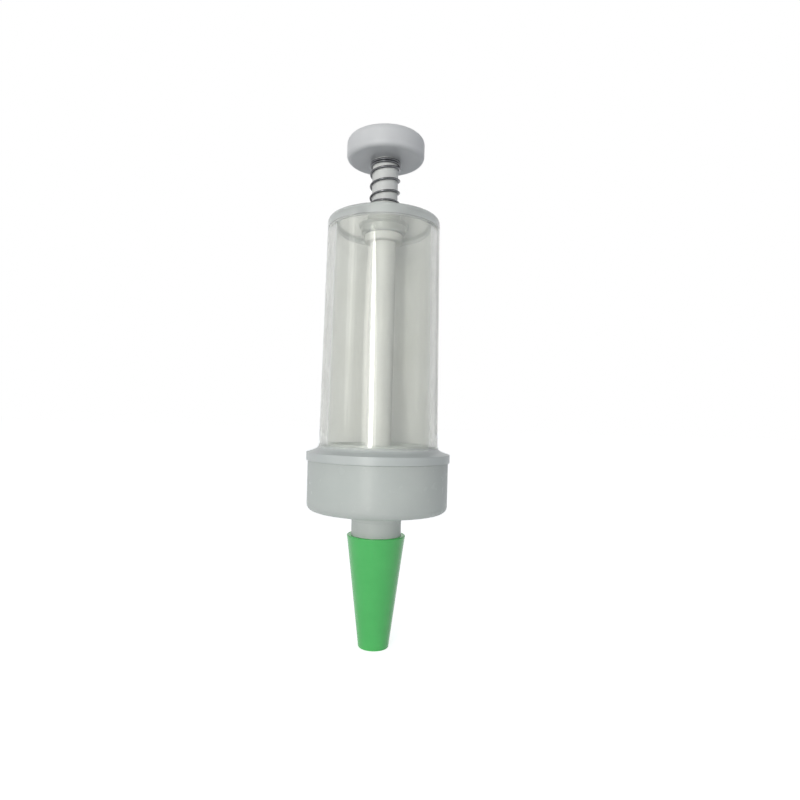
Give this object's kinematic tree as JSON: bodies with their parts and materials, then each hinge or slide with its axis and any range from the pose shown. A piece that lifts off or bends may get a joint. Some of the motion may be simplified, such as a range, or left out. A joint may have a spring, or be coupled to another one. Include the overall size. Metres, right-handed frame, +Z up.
{
  "type": "seed dispenser",
  "caption": "Push-button hand seed dispenser: clear round barrel with a flange, sprung plunger, milky push-on cap with a neck, and a tapered green tip.",
  "frame": {"origin": "centre of the outlet face at the tip's lower end", "axes": "+Z up along the axis, from the tip to the push button; +X to the right as seen from the front"},
  "size_m": [0.0338, 0.0338, 0.12],
  "materials": {
    "knob_plastic": "satin off-white",
    "rod_plastic": "satin off-white",
    "pin_steel": "drawn wire",
    "spring_steel": "dark drawn wire",
    "clear_plastic": "clear, glossy",
    "milky_plastic": "translucent milky, satin",
    "green_plastic": "satin"
  },
  "bodies": {
    "barrel": {"barrel": "clear_plastic", "return_spring": "spring_steel"},
    "plunger": {"push_button": "knob_plastic", "plunger_rod": "rod_plastic", "pusher_pin": "pin_steel"},
    "cap": {"cap": "milky_plastic"},
    "tip": {"nozzle_tip": "green_plastic"}
  },
  "joints": [
    {"name": "plunger_press", "type": "slide", "parent": "barrel", "child": "plunger", "axis": [0, 0, -1], "range_m": [0, 0.007], "stiffness_N_per_m": 600, "springref_m": -0.004, "deforming": ["return_spring"]},
    {"name": "cap_pull", "type": "slide", "parent": "barrel", "child": "cap", "axis": [0, 0, -1], "range_m": [0, 0.04]},
    {"name": "tip_pull", "type": "slide", "parent": "cap", "child": "tip", "axis": [0, 0, -1], "range_m": [0, 0.018]}
  ]
}
